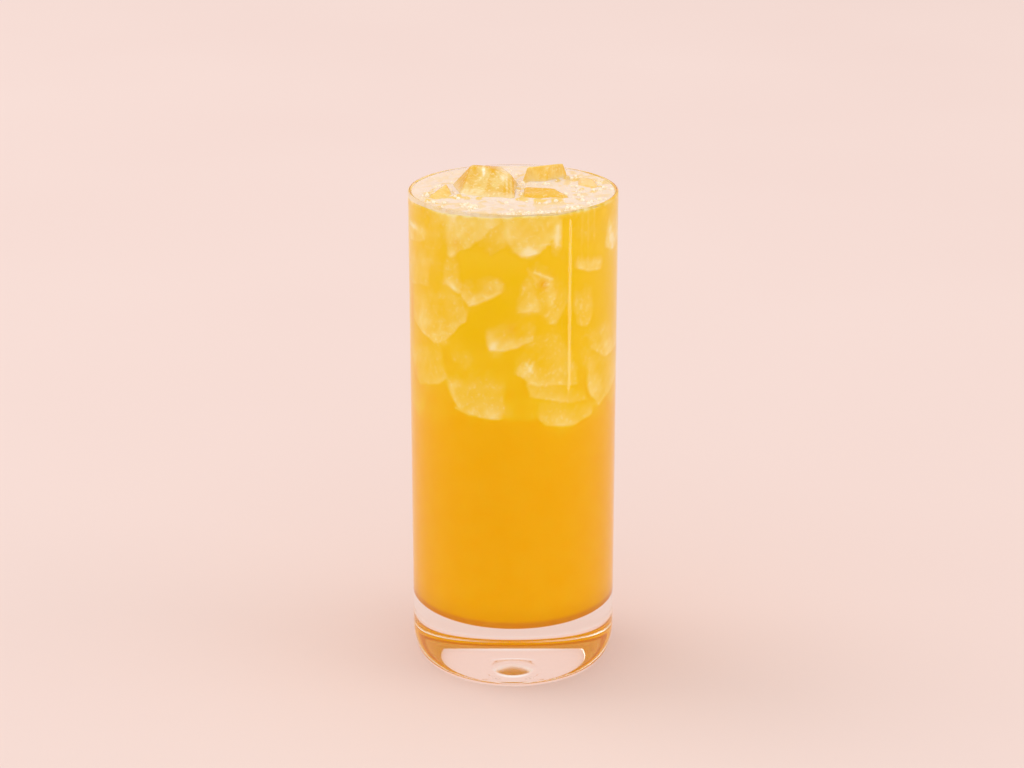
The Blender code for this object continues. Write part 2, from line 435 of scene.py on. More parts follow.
def corner_ring(angle, height, half_width, half_height, draw):
    """Six corners on an ellipse round a middle, each moved by a drawn amount."""
    way = 2 * np.pi * (np.arange(CORNERS) + draw.uniform(-CORNER_SHIFT, CORNER_SHIFT, CORNERS)) / CORNERS
    far = draw.uniform(*CORNER_FAR, CORNERS)
    angles = angle + np.degrees(half_width * MM / BORE) * far * np.cos(way)
    return list(zip(angles, height + half_height * far * np.sin(way)))


def staggered(heights, start, end, step):
    """Angles and heights of staggered rows."""
    for row, height in enumerate(heights):
        for angle in np.arange(start + (row % 2) * step / 2, end, step):
            yield angle, height


def back_ice(draw):
    """The chunks of the sides and the back, drawn as strong as those at the front."""
    rows = []
    for angle, height in staggered(BACK_HEIGHTS, BACK_START, BACK_END, BACK_STEP):
        place = angle + draw.uniform(*BACK_TURNS), height + draw.uniform(*BACK_RISES)
        size = draw.uniform(*BACK_WIDTHS), draw.uniform(*BACK_HEIGHTS_HALF)
        look = draw.uniform(*BACK_STRENGTHS), draw.uniform(*BACK_FADES)
        rows.append((*look, corner_ring(*place, *size, draw)))
    return rows


def faint_ice(draw):
    """The deeper chunks, all round."""
    rows = []
    for angle, height in staggered(FAINT_HEIGHTS, -180, 180, FAINT_STEP):
        place = angle + draw.uniform(*FAINT_TURNS), height + draw.uniform(*FAINT_RISES)
        size = draw.uniform(*FAINT_WIDTHS), draw.uniform(*FAINT_HEIGHTS_HALF)
        rows.append((draw.uniform(*FAINT_STRENGTHS), FAINT_FADE, corner_ring(*place, *size, draw)))
    return rows


near_ice = FRONT_ICE + back_ice(np.random.default_rng(7))
deep_ice = faint_ice(np.random.default_rng(3))
print(len(near_ice), "chunks at the wall,", len(deep_ice), "deeper")

# %% [markdown]
# ## The sunk chunks as solids
# Each outline at the wall is the front of a chunk about a centimetre deep. Its
# planes are one through each edge of the outline, a front that leans back at
# the top, and a back. The chunk ends at the wall and below the foam.

# %% Planes behind an outline
CHUNK_DEPTH = 11 * MM
FRONT_LEAN = math.tan(math.radians(16))
LEAST_REACH = 1 * MM
ICE_AT_WALL = BORE - 0.15 * MM


def in_order(corners):
    """Corners sorted by their way round their middle."""
    from_middle = corners - corners.mean(axis=0)
    return corners[np.argsort(np.arctan2(from_middle[:, 1], from_middle[:, 0]))]


def edges_of(corners):
    """For corners in order, the unit vectors that point out of the outline, one for each edge."""
    step = np.roll(corners, -1, axis=0) - corners
    away = np.column_stack([step[:, 1], -step[:, 0]])
    return away / np.linalg.norm(away, axis=1, keepdims=True)


def chunk_planes(row):
    """Middle, normals and distances of the solid behind one outline."""
    corners = np.array(row[2], float)
    out = math.radians(corners[:, 0].mean())
    outward = np.array([math.sin(out), -math.cos(out), 0.0])
    sideways = np.array([math.cos(out), math.sin(out), 0.0])
    up = np.array([0.0, 0.0, 1.0])
    across = BORE * np.sin(np.radians(corners[:, 0]) - out)
    flat = in_order(np.column_stack([across, corners[:, 1] * MM]))
    centre = flat.mean(axis=0)
    away = edges_of(flat)
    offsets = np.einsum("ij,ij->i", away, flat - centre)
    normals = away[:, :1] * sideways + away[:, 1:] * up
    front = outward + FRONT_LEAN * up
    front_gap = CHUNK_DEPTH / 2 + FRONT_LEAN * (flat[:, 1].min() - centre[1])
    size = np.linalg.norm(front)
    normals = np.concatenate([normals, [front / size, -outward]])
    offsets = np.concatenate([offsets, [front_gap / size, CHUNK_DEPTH / 2]])
    middle = outward * (ICE_AT_WALL - CHUNK_DEPTH / 2) + sideways * centre[0] + up * centre[1]
    return middle, (normals, np.maximum(offsets, LEAST_REACH))


print("the first outline gives", len(chunk_planes(near_ice[0])[1][1]), "planes")

# %% The sunk chunks
SUNK_SHARPNESS = 34
SUNK_GRID = (30, 48)
SUNK_MELT = 0.015
LEAST_RISE = 1e-6
SUNK_TOP = drink_high.z - 0.4 * MM
draw = np.random.default_rng(23)
grids = []
for row in near_ice:
    middle, planes = chunk_planes(row)
    along = directions(*SUNK_GRID)
    distance = reach(planes, along, SUNK_SHARPNESS) * melted(along, SUNK_MELT, draw)
    distance = np.minimum(distance, reach_wall(middle, along, ICE_AT_WALL))
    rise = np.maximum(along[..., 2], LEAST_RISE)
    distance = np.minimum(distance, (SUNK_TOP - middle[2]) / rise)
    grids.append(middle + along * distance[..., None])
sunk_ice = globes("sunk_ice", grids)
print(len(grids), "sunk chunks,", len(sunk_ice.data.polygons), "faces")

# %% [markdown]
# ## The seam between drink and foam
# Seen through the wall, the drink ends in a line just below the rim. On the
# left the line is nearly two millimetres below the rim, and at the front and
# right less than one. So the seam is a height that depends on the angle round
# the wall: a mean, one slow wave and a little unevenness.

# %% Seam and foam heights
SEAM_MEAN = HEIGHT - 1.35 * MM
SEAM_SWING = 0.65 * MM
SEAM_HIGH_ANGLE = math.radians(42)
# Each small wave of the seam: height in mm, waves in one turn, and where it starts in radians
SEAM_WAVES = [(0.10, 5, 1.0), (0.07, 11, 0.4)]
FOAM_TOP = 149.5 * MM
FOAM_SWELL = 0.22 * MM
FOAM_RIM_RISE = 0.18 * MM
# Each wave of the swell: length over one radian in mm, and where it starts in radians
SWELL_ACROSS = (5.1, 0.6)
SWELL_BACK = (6.3, -0.4)
SWELL_SLANTED = (3.9, 1.9)
SLANTED_SHARE = 0.6


def front_angle(x, y):
    """Angle round the wall: 0 at the front, positive to the right."""
    return np.arctan2(x, -y)


def seam_height(angle):
    """Height of the line where the drink ends and the foam starts."""
    uneven = sum(size * np.sin(count * angle + start) for size, count, start in SEAM_WAVES)
    return SEAM_MEAN + SEAM_SWING * np.cos(angle - SEAM_HIGH_ANGLE) + uneven * MM


def phase(place, wave):
    """How far along a wave a place is, in radians: place over length, plus the start."""
    length, start = wave
    return place / (length * MM) + start


def foam_swell(x, y):
    """Two crossing waves and a slanted one, the same as in the solid."""
    crossing = np.sin(phase(x, SWELL_ACROSS)) * np.cos(phase(y, SWELL_BACK))
    return FOAM_SWELL * (crossing + SLANTED_SHARE * np.sin(phase(x + y, SWELL_SLANTED)))


for side, degrees in (("left", -90), ("front", 0), ("right", 90)):
    below_rim = (HEIGHT - seam_height(math.radians(degrees))) / MM
    print("seam below the rim at the", side, round(float(below_rim), 2), "mm")

# %% [markdown]
# ## The drink
# The drink is one closed surface. Its side bites a tenth of a millimetre into
# the glass, so that no air shows between them. The rows of points are close
# together where the ice shows and wide apart in the plain tea below.

# %% The drink's surface
DRINK_SIDES = 376
ICE_ROWS = 190
PLAIN_ROWS = 26
BOTTOM_ROWS = 20
LID_ROWS = 5
LID_SHARE = 0.999
ICE_LOW = 84 * MM
LID_DIP = 0.9 * MM


def drink_grid():
    """Top, side and bottom of the drink as one globe."""
    side = BORE + BITE
    bottom = bore_line(-BITE, BOTTOM_ROWS)
    upper = straight((side, HEIGHT), (side, ICE_LOW), ICE_ROWS)
    lower = straight((side, ICE_LOW), bottom[0], PLAIN_ROWS)
    lid = straight((0.0, HEIGHT), (side, HEIGHT), LID_ROWS)
    grid = turned(joined(lid, upper, lower, bottom), DRINK_SIDES)
    angle = front_angle(grid[..., 0], grid[..., 1])
    low = bottom[0][1]
    share = np.clip((grid[..., 2] - low) / (HEIGHT - low), 0, 1)
    drop = (seam_height(angle) - HEIGHT) * share
    centre = 1 - np.clip(np.hypot(grid[..., 0], grid[..., 1]) / side, 0, 1)
    grid[..., 2] += drop - LID_DIP * centre * (share > LID_SHARE)
    return grid


tea = globe("tea", drink_grid())
print("drink:", len(tea.data.polygons), "faces")

# %% [markdown]
# ## How the ice shows through the tea
# What makes the surface look like cloudy tea with ice is its colour. Each
# chunk's paleness is a product of soft steps, one for each edge of its
# outline: narrow steps at the lower edges, wide ones at the top. Chunks in
# front of each other let less and less of the tea's own colour through, so
# their clear shares are multiplied. Slow waves through space bend the outlines
# and cloud the ice, so that no edge is quite straight.

# %% Waves and soft steps
WAVE_LENGTHS = (0.6, 1.6)


def waves(draw, size, count):
    """A function of points: the mean of a few sine waves with drawn ways, lengths and starts."""
    ways = draw.normal(size=(count, 3))
    ways /= np.linalg.norm(ways, axis=1, keepdims=True) * size * draw.uniform(*WAVE_LENGTHS, (count, 1))
    starts = draw.uniform(0, 2 * np.pi, count)
    return lambda points: np.sin(points / MM @ ways.T + starts).mean(axis=1)


def across_wall(angle, middle):
    """Signed distance round the wall in millimetres from a middle angle in degrees."""
    turn = (angle - math.radians(middle) + np.pi) % (2 * np.pi) - np.pi
    return turn * BORE / MM


def soft_step(value):
    """0 below 0, 1 above 1 and 3v^2 - 2v^3 between."""
    value = np.clip(value, 0, 1)
    return value * value * (3 - 2 * value)


print("soft steps at the quarters:", soft_step(np.linspace(0, 1, 5)).round(3).tolist())

# %% Paleness of one chunk
# Widths of the soft steps in mm, and which edges count as lower and upper ones
LOWER_EDGE = 0.9
SIDE_EDGE = 2.4
UPPER_EDGE = 5.0
DOWNWARD = -0.3
UPWARD = 0.45
EDGE_SHIFT = 0.35
FAINT_BELOW = 0.25
FAINT_BLUR = 3.0
REST_SHARE = 0.42
EDGE_SHARE = 0.75
GLOW_FADE = 0.45
MOST_PALE = 0.95
HALF_SPAN = 18.0
FAR_ABOVE = 100.0


def patch(angle, height, row):
    """Paleness of one chunk at points of the wall, by their angle in radians and height in mm."""
    strength, fade, corners = row
    corners = np.array(corners, float)
    middle = corners[:, 0].mean()
    across = across_wall(angle, middle)
    near = np.flatnonzero(np.abs(across) < HALF_SPAN)
    flat = in_order(np.column_stack([np.radians(corners[:, 0] - middle) * BORE / MM, corners[:, 1]]))
    blur = FAINT_BLUR if strength < FAINT_BELOW else 1.0
    shape = np.ones(len(near))
    lowest = np.full(len(near), FAR_ABOVE)
    for point, away in zip(flat, edges_of(flat)):
        inside = -(across[near] - point[0]) * away[0] - (height[near] - point[1]) * away[1]
        width = UPPER_EDGE if away[1] > UPWARD else SIDE_EDGE * blur
        if away[1] < DOWNWARD:
            width = LOWER_EDGE * blur
            lowest = np.minimum(lowest, inside)
        shape *= soft_step(inside / width + EDGE_SHIFT)
    glow = REST_SHARE + EDGE_SHARE * np.exp(-np.maximum(lowest, 0) / (GLOW_FADE * fade))
    pale = np.zeros(len(angle))
    pale[near] = np.clip(strength * shape * glow, 0, MOST_PALE)
    return pale


upward = patch(np.radians(np.full(5, -12)), np.array([86, 88, 90, 95, 100]), FRONT_ICE[0])
print("paleness of the first chunk, upward:", upward.round(2).tolist())

# %% [markdown]
# ## Where light gathers in the ice
# Some corners of the ice catch the light, and this light is painted: soft lobes of painted highlight on the
# unrolled wall, a few thin painted lines of light along cracks and lower edges, three upright lines that are
# a painted reflection of the glass wall, and a few pockets where the ice bends the view into deeper, more
# orange tea.

# %% Lobes of light at the front
# Each lobe: angle in degrees, height, half width and half height in mm, and strength
FRONT_LOBES = [
    (-12, 90.1, 4.5, 2.1, 0.45),
    (-20, 93.4, 5.0, 2.8, 0.15),
    (-9, 109.9, 2.1, 2.5, 0.45),
    (2.5, 112.1, 4.2, 1.9, 0.36),
    (9, 103.8, 2.4, 1.6, 0.62),
    (4.5, 102.6, 1.8, 2.2, 0.25),
    (20, 95, 4.7, 1.6, 0.12),
    (-61, 115.5, 3.7, 4.7, 0.4),
    (-45.5, 109.6, 3.7, 1.6, 0.45),
    (-41, 112.3, 1.3, 0.6, 0.55),
    (-49, 111, 1.3, 0.8, 0.3),
    (-37, 127.6, 2.9, 1.6, 0.5),
    (-20.5, 123.7, 2.9, 1.6, 0.3),
    (-8, 128.7, 1.8, 1.9, 0.45),
    (-15, 125.5, 2.9, 0.9, 0.25),
    (24.5, 142.9, 1.1, 3.5, 0.95),
    (18, 145.3, 4.7, 4.4, 0.22),
    (7.5, 139.2, 3.2, 2.2, 0.42),
    (52.5, 132.9, 2.4, 1.6, 0.55),
    (41.5, 133.2, 3.7, 1.6, 0.18),
    (65.5, 105.3, 5.8, 2.8, 0.42),
    (55, 94.3, 2.6, 4.7, 0.25),
    (56.5, 89.1, 2.4, 0.9, 0.35),
    (7.5, 122.4, 2.9, 2.5, 0.42),
    (6, 128.4, 1.6, 2.8, 0.15),
    (16.5, 124.2, 2.6, 1.9, 0.16),
    (71.5, 138.7, 5.0, 5.0, 0.75),
    (-70, 141.3, 5.3, 1.3, 0.85),
    (-60, 141.1, 2.4, 0.9, 0.4),
    (-33, 142.3, 2.6, 5.4, 0.25),
    (-24.5, 146.5, 6.8, 2.5, 0.32),
    (-34.5, 136.5, 1.3, 0.9, 0.45),
    (24, 86.9, 3.7, 1.9, 0.25),
    (37.5, 88.7, 4.5, 2.5, 0.12),
    (42, 120.7, 2.6, 3.8, 0.1),
    (-65.5, 130.9, 5.0, 4.1, 0.12),
    (-55, 101.5, 6.6, 4.4, 0.15),
    (-52, 135, 7.0, 7.0, 0.28),
    (-50, 146, 10.0, 4.0, 0.28),
    (-7, 143.5, 8.0, 4.5, 0.38),
    (13, 127, 4.5, 6.5, 0.3),
    (45, 144, 9.0, 5.0, 0.26),
    (40, 108, 9.0, 8.0, 0.18),
    (-20, 104, 10.0, 6.0, 0.16),
]
print(len(FRONT_LOBES), "lobes at the front")

# %% Pockets and lines of light at the front
# Each pocket is written as a lobe is
POCKETS = [
    (16.5, 129, 1.3, 1.4, 1),
    (-70, 96.1, 1.6, 2.8, 0.7),
    (-75.5, 116.5, 1.6, 8.2, 0.8),
    (-0.5, 116.1, 1.3, 1.6, 0.35),
    (-33, 140.5, 1.3, 1.6, 0.35),
]
# Each glint: angle and height of both ends, width in mm and strength
FRONT_GLINTS = [
    (11.5, 132.8, 21.5, 130.3, 0.43, 0.75),
    (7.5, 134.1, 13, 130, 0.47, 0.35),
    (-33.5, 90.1, -25, 88.7, 0.39, 0.5),
    (-25, 88.7, -7.5, 88, 0.31, 0.25),
    (-59, 110.3, -49, 108.8, 0.39, 0.45),
    (7, 105.4, 10.5, 102.5, 0.39, 0.7),
    (11, 105.6, 9, 102.9, 0.39, 0.6),
    (-24.5, 122.2, -7, 126.9, 0.39, 0.35),
    (-34, 127, -29.5, 126.1, 0.39, 0.4),
    (15, 140.7, 22, 141, 0.47, 0.4),
    (26.5, 147.3, 26.5, 139.8, 0.31, 0.3),
    (25, 145.8, 24.6, 140.6, 0.95, 0.8),
    # The last three lines are upright, a painted reflection of the glass wall on the tea
    (40.5, 148, 40.5, 134, 0.35, 0.2),
    (45, 148, 45, 131, 0.35, 0.18),
    (50, 148, 50, 134, 0.35, 0.15),
]
print(len(POCKETS), "pockets and", len(FRONT_GLINTS), "lines of light")

# %% Lobes at the back
# Each pair: the least and the most that is drawn, turns in degrees and sizes in mm
LOBE_TURNS = (-4, 4)
LOBE_RISES = (1.5, 3.5)
LOBE_WIDTHS = (1.6, 5.0)
LOBE_HEIGHTS = (1.0, 3.0)
LOBE_STRENGTHS = (0.15, 0.6)


def back_lobes(rows, draw):
    """For each chunk of the back, a painted highlight just above its lowest corner."""
    lobes = []
    for strength, fade, corners in rows:
        angle, height = min(corners, key=lambda corner: corner[1])
        place = angle + draw.uniform(*LOBE_TURNS), height + draw.uniform(*LOBE_RISES)
        size = draw.uniform(*LOBE_WIDTHS), draw.uniform(*LOBE_HEIGHTS)
        lobes.append((*place, *size, draw.uniform(*LOBE_STRENGTHS)))
    return lobes


all_lobes = FRONT_LOBES + back_lobes(near_ice[len(FRONT_ICE):], np.random.default_rng(31))
print(len(all_lobes), "lobes in all")

# %% [markdown]
# ## The paleness of the whole drink
# Everything that is seen in the tea comes together here as one number for each
# point: the chunks, the lobes and lines of light, a cloud over the ice, and the
# haze of fine bubbles under the foam, which is widest at the front left. At the
# back the foam reaches down a few millimetres along the wall.

# %% Sums of waves, lobes and lines of light
def wave_sum(points, rows, draw):
    """Sum of waves, each times its share."""
    return sum(share * waves(draw, size, count)(points) for share, size, count in rows)


def lobe(angle, height, row):
    """exp(-r^2) on an ellipse round the lobe's place."""
    middle, level, half_width, half_height, strength = row
    spread = (across_wall(angle, middle) / half_width) ** 2 + ((height - level) / half_height) ** 2
    return strength * np.exp(-spread)


def glint(angle, height, row):
    """exp(-(d / width)^2) of the distance d from a short line."""
    first, first_level, second, second_level, width, strength = row
    across = across_wall(angle, first)
    step = np.radians(second - first) * BORE / MM, second_level - first_level
    along = (across * step[0] + (height - first_level) * step[1]) / (step[0] ** 2 + step[1] ** 2)
    along = np.clip(along, 0, 1)
    gap = np.hypot(across - along * step[0], height - first_level - along * step[1])
    return strength * np.exp(-(gap / width) ** 2)


one_away = lobe(1 * MM / BORE, 0, (0, 0, 1, 1, 1))
print("a lobe of strength 1 keeps", round(float(one_away), 2), "at its half width")

# %% Froth and haze under the foam
# Reaches and widths in mm, the angle in degrees
FROTH_REACH = 0.5
FROTH_SHARE = 0.6
HAZE_REACH = 4.5
HAZE_SHARE = 0.42
HAZE_ANGLE = -36
HAZE_WIDTH = 17
HAZE_REST = 0.22
BACK_FROTH = 0.85
BACK_FROTH_REACH = 3.2
BACK_FROM = math.radians(80)
BACK_FADE = math.radians(40)


def paleness_near_foam(angle, height):
    """A thin froth and a wide haze that fade exponentially downward, and the foam of the back."""
    below = np.maximum(seam_height(angle) / MM - height, 0)
    round_haze = np.exp(-(across_wall(angle, HAZE_ANGLE) / HAZE_WIDTH) ** 2)
    haze = HAZE_SHARE * (HAZE_REST + (1 - HAZE_REST) * round_haze) * np.exp(-below / HAZE_REACH)
    back = soft_step((np.abs(angle) - BACK_FROM) / BACK_FADE)
    near_foam = FROTH_SHARE * np.exp(-below / FROTH_REACH) + haze
    return near_foam + BACK_FROTH * back * np.exp(-(below / BACK_FROTH_REACH) ** 2)


for level in (148, 145, 140):
    print("front haze at", level, "mm:", round(float(paleness_near_foam(0.0, level)), 2))

# %% Paleness all over the drink
# Each wave: share, size in mm and number of sines
SIDE_BENDS = [(0.6, 1.5, 5), (0.25, 0.5, 5)]
UP_BENDS = [(0.5, 1.5, 5), (0.25, 0.5, 5)]
CLOUD_WAVES = [(1.0, 1.4, 6), (0.7, 0.6, 6)]
GRAIN_WAVES = [(1.0, 0.25, 8)]
CLOUD = 0.32
CLOUD_FAINT = 0.05
GRAIN = 0.10
GRAIN_FROM = 0.25
GRAIN_SPREAD = 0.5
UNEVEN_CLOUD = 0.8
UNEVEN_GRAIN = 0.4


def paleness(points, draw):
    """How pale each point is, from 0 for plain tea to about 1: ice, painted highlights and a painted
    reflection, and haze.
    """
    bend_side = wave_sum(points, SIDE_BENDS, draw)
    bend_up = wave_sum(points, UP_BENDS, draw)
    cloud = wave_sum(points, CLOUD_WAVES, draw)
    grain = wave_sum(points, GRAIN_WAVES, draw)
    plain_angle = front_angle(points[:, 0], points[:, 1])
    plain_height = points[:, 2] / MM
    angle = plain_angle + bend_side * MM / BORE
    height = plain_height + bend_up
    clear = np.ones(len(points))
    for row in near_ice + deep_ice:
        clear *= 1 - patch(angle, height, row)
    # The lobes are painted highlights
    for row in all_lobes:
        clear *= 1 - lobe(angle, height, row)
    pale = (1 - clear) * (1 + CLOUD * cloud) + CLOUD_FAINT * cloud * (plain_height > ICE_LOW / MM)
    pale += GRAIN * grain * np.clip((pale - GRAIN_FROM) / GRAIN_SPREAD, 0, 1)
    clear = 1 - np.clip(pale, 0, 1)
    # The glints are painted highlights, and three of them a painted reflection of the glass wall
    for row in FRONT_GLINTS:
        clear *= 1 - glint(plain_angle, plain_height, row)
    near_foam = paleness_near_foam(plain_angle, plain_height)
    near_foam *= 1 + UNEVEN_CLOUD * cloud + UNEVEN_GRAIN * grain
    return 1 - clear * (1 - np.clip(near_foam, 0, MOST_PALE))


# %% [markdown]
# ## The colours of tea and ice
# The tea is a deep orange-yellow at the bottom, a brighter yellow between the ice and lightest under the
# foam. A painted shade darkens a band round its lowest curve, where it faces down, and a painted highlight
# makes its floor paler. Ice seen through it goes over light yellow and straw to cream as it comes nearer to
# the wall, and the painted highlights take the same colours. Both are tables of colours, and the colour of a
# point is read between the entries.

# %% Tables of colours
def srgb(red, green, blue):
    """Linear colour of a screen colour given in 0 to 255, by the sRGB curve."""
    value = np.array([red, green, blue]) / 255
    return np.where(value <= 0.04045, value / 12.92, ((value + 0.055) / 1.055) ** 2.4)


# Heights of the tea's colours, from its floor up, and the colours
TEA_LEVELS = np.array([19, 19.5, 19.8, 21.8, 23, 65, 86, 100, 112, 130, 140, 148]) * MM
# The first two colours are a painted highlight on the floor, the next two a painted shade round the lowest
# curve
TEA_COLOURS = np.array([
    srgb(252, 196, 98), srgb(252, 196, 98), srgb(228, 147, 34), srgb(228, 147, 34),
    srgb(242, 174, 0), srgb(243, 176, 0), srgb(244, 181, 0), srgb(243, 188, 0),
    srgb(242, 194, 0), srgb(243, 198, 8), srgb(248, 205, 44), srgb(253, 209, 56)])
# Each step of the ice: the paleness where it starts and ends, and its colour
ICE_STEPS = [
    (0.0, 0.2, srgb(244, 198, 24)), (0.2, 0.5, srgb(247, 206, 78)), (0.5, 0.75, srgb(250, 217, 114)),
    (0.75, 1.0, srgb(254, 236, 182))]
POCKET_COLOUR = srgb(242, 176, 10)
print(len(TEA_LEVELS), "levels of tea and", len(ICE_STEPS), "steps of ice")


# %% Colour of the drink
def towards(first, second, share):
    """Mix colours by a share for each point."""
    return first + (second - first) * np.clip(share, 0, 1)[:, None]


def drink_colours(points, pale):
    """The tea by height, the ice and the painted highlights by their paleness, and the orange pockets over
    both.
    """
    channels = [np.interp(points[:, 2], TEA_LEVELS, TEA_COLOURS[:, channel]) for channel in range(3)]
    colour = np.column_stack(channels)
    for start, end, tint in ICE_STEPS:
        colour = towards(colour, tint, (pale - start) / (end - start))
    angle = front_angle(points[:, 0], points[:, 1])
    for row in POCKETS:
        colour = towards(colour, POCKET_COLOUR, lobe(angle, points[:, 2] / MM, row))
    return colour


def paint(thing, name, colours, share=1.0):
    """Store one linear colour and one share for each point."""
    layer = thing.data.color_attributes.new(name, "FLOAT_COLOR", "POINT")
    values = np.column_stack([colours, np.broadcast_to(share, len(colours))]).astype(np.float32)
    layer.data.foreach_set("color", values.ravel())


tea_points = vectors(tea.data.vertices, "co")
ice_and_highlight_share = paleness(tea_points, np.random.default_rng(17))
# The share also holds the painted highlights and the painted reflection
paint(tea, "tea_colour_and_painted_light", drink_colours(tea_points, ice_and_highlight_share), ice_and_highlight_share)
print("mean ice share", round(float(ice_and_highlight_share.mean()), 3))

# %% [markdown]
# ## The foam
# Shaking the tea with its fruit leaves a thin pale foam. It is one closed
# surface: an uneven top that climbs a little at the wall and around each chunk
# of ice, as wet foam clings, and an edge that follows the seam. The distance
# to a chunk is how far a point lies outside its most distant plane.

# %% Height of the foam
CLING_RISE = 0.5 * MM
CLING_REACH = 0.9 * MM
CALM_POWER = 6
CRUMPLE = 0.07 * MM
# Each wave of the crumple, as for the swell
CRUMPLE_ACROSS = (1.3, 0.0)
CRUMPLE_BACK = (1.1, 1.3)
CRUMPLE_BEND = (2.1, 0.0)
BEND_SHARE = 2


def nearness(points):
    """Distance in metres from each point to the nearest chunk that stands out."""
    nearest = np.full(points.shape[:-1], 1.0)
    for middle, (normals, offsets) in solids_of_ice.values():
        outside = ((points - middle) @ normals.T - offsets).max(axis=-1)
        nearest = np.minimum(nearest, outside)
    return np.maximum(nearest, 0)


def foam_height(x, y):
    """Top of the foam: long waves, a rise at the wall, a cling at the ice and small crumple."""
    share = np.hypot(x, y) / BORE
    calm = 1 - share ** CALM_POWER
    height = FOAM_TOP + foam_swell(x, y) * calm + FOAM_RIM_RISE * share ** CALM_POWER
    points = np.stack([x, y, np.full_like(x, FOAM_TOP)], axis=-1)
    height += CLING_RISE * np.exp(-nearness(points) / CLING_REACH)
    bend = BEND_SHARE * np.sin(phase(y, CRUMPLE_BEND))
    crumple = np.sin(phase(x, CRUMPLE_ACROSS) + bend) * np.sin(phase(y, CRUMPLE_BACK))
    return height + CRUMPLE * crumple * calm


across_foam = np.linspace(-BORE, BORE, 7)
print("foam in mm from left to right:", (foam_height(across_foam, 0 * across_foam) / MM).round(2).tolist())

# %% The foam's surface
FOAM_SIDES = 400
FOAM_RINGS = 110
FOAM_SIDE_ROWS = 5
SEAM_OVERLAP = 0.05 * MM
FOAM_FLOOR = SEAM_MEAN - 0.8 * MM


def foam_grid():
    """Top from the middle out, the edge, and a lower face back to the middle."""
    side = BORE + BITE * 0.5
    top_radius = np.linspace(0, side, FOAM_RINGS)
    radius = np.concatenate([top_radius, np.full(FOAM_SIDE_ROWS, side), [side * 0.5, 0]])
    grid = turned(np.column_stack([radius, np.zeros_like(radius)]), FOAM_SIDES)
    angle = front_angle(grid[..., 0], grid[..., 1])
    top = foam_height(grid[..., 0], grid[..., 1])
    number = np.arange(len(radius))[:, None]
    down = np.clip((number - FOAM_RINGS + 1) / FOAM_SIDE_ROWS, 0, 1)
    edge = top + (seam_height(angle) - SEAM_OVERLAP - top) * down
    grid[..., 2] = np.where(number < FOAM_RINGS + FOAM_SIDE_ROWS, edge, FOAM_FLOOR)
    return grid


froth = globe("froth", foam_grid())
print("foam:", len(froth.data.polygons), "faces")

# %% [markdown]
# ## Stains in the foam
# The foam is cream. Where it is thin, and around the ice, the tea stains it yellow, and its freshest froth is
# whiter. A smooth crescent at the left has no stains. Down its side at the wall, painted light makes it
# brighter and yellower, where little light reaches it through the glass. Each point mixes these colours by
# soft waves and by its nearness to the ice and to the wall.

# %% Tints and waves of the foam
FOAM_CREAM = srgb(232, 215, 196)
FOAM_WHITE = srgb(236, 221, 206)
FOAM_STAIN = srgb(232, 198, 108)
# Painted light: down its side at the wall the foam is made brighter, where little light reaches it through
# the glass
FOAM_EDGE_PAINTED_LIGHT = srgb(255, 236, 196)
STAIN_REACH = 3.2 * MM
REST_STAIN = 0.3
STAIN_FROM = 0.04
STAIN_SPREAD = 0.3
# The waves that draw the stains and the whiter froth: share, size in mm and number
STAIN_WAVES = [(1.0, 1.5, 14), (1.0, 0.7, 16), (0.8, 0.35, 16)]
WHITE_WAVES = [(1.0, 0.5, 14), (1.0, 0.25, 14)]
WHITE_SPREAD = 0.35
WHITE_SHARE = 0.7
EDGE_WHITE = 0.5
EDGE_RING = 0.99
ICE_STAIN = 0.85
FULL_STAIN = 0.4
# Stains at the front: angle round the wall, half width and depth in mm, and strength
FRONT_STAINS = [
    (-66, 6, 5, 1.0), (-46, 6, 3, 0.7), (12, 9, 3, 0.75), (30, 5, 2.5, 0.5), (-14, 5, 2.5, 0.6)]
# The smooth crescent: middle in degrees, half width in mm, and how tightly it keeps to the wall
SMOOTH_ANGLE = -115
SMOOTH_WIDTH = 30
WALL_POWER = 8
print(len(FRONT_STAINS), "stains at the front")


# %% Colours of the foam
def foam_colours(points, draw):
    """Cream, with stains of tea near the ice and in drawn places, and painted light that makes it brighter
    and yellower down its side at the wall.
    """
    angle = front_angle(points[:, 0], points[:, 1])
    radius = np.hypot(points[:, 0], points[:, 1])
    near_wall = np.clip(radius / BORE, 0, 1) ** WALL_POWER
    crescent = near_wall * np.exp(-((across_wall(angle, SMOOTH_ANGLE) / SMOOTH_WIDTH) ** 2))
    patches = soft_step((wave_sum(points, STAIN_WAVES, draw) - STAIN_FROM) / STAIN_SPREAD)
    stain = patches * (REST_STAIN + ICE_STAIN * np.exp(-nearness(points) / STAIN_REACH))
    for middle, half_width, depth, strength in FRONT_STAINS:
        inward = (BORE - radius) / MM
        band = np.exp(-(across_wall(angle, middle) / half_width) ** 2 - (inward / depth) ** 2)
        stain += strength * band * (FULL_STAIN + (1 - FULL_STAIN) * patches)
    colour = np.tile(FOAM_CREAM, (len(points), 1))
    white = soft_step(wave_sum(points, WHITE_WAVES, draw) / WHITE_SPREAD)
    colour = towards(colour, FOAM_WHITE, WHITE_SHARE * white)
    colour = towards(colour, FOAM_STAIN, stain * (1 - crescent))
    depth = (FOAM_TOP + FOAM_RIM_RISE - points[:, 2]) / (FOAM_TOP - SEAM_MEAN)
    edge_painted_light = np.clip(depth, 0, 1) * (radius > EDGE_RING * BORE)
    # Painted light down the side at the wall
    return towards(colour, FOAM_EDGE_PAINTED_LIGHT, edge_painted_light * (1 - EDGE_WHITE * white))


foam_points = vectors(froth.data.vertices, "co")
foam_tints = foam_colours(foam_points, np.random.default_rng(43))
paint(froth, "foam_colour_and_painted_light", foam_tints)
print("mean foam colour", foam_tints.mean(axis=0).round(2))

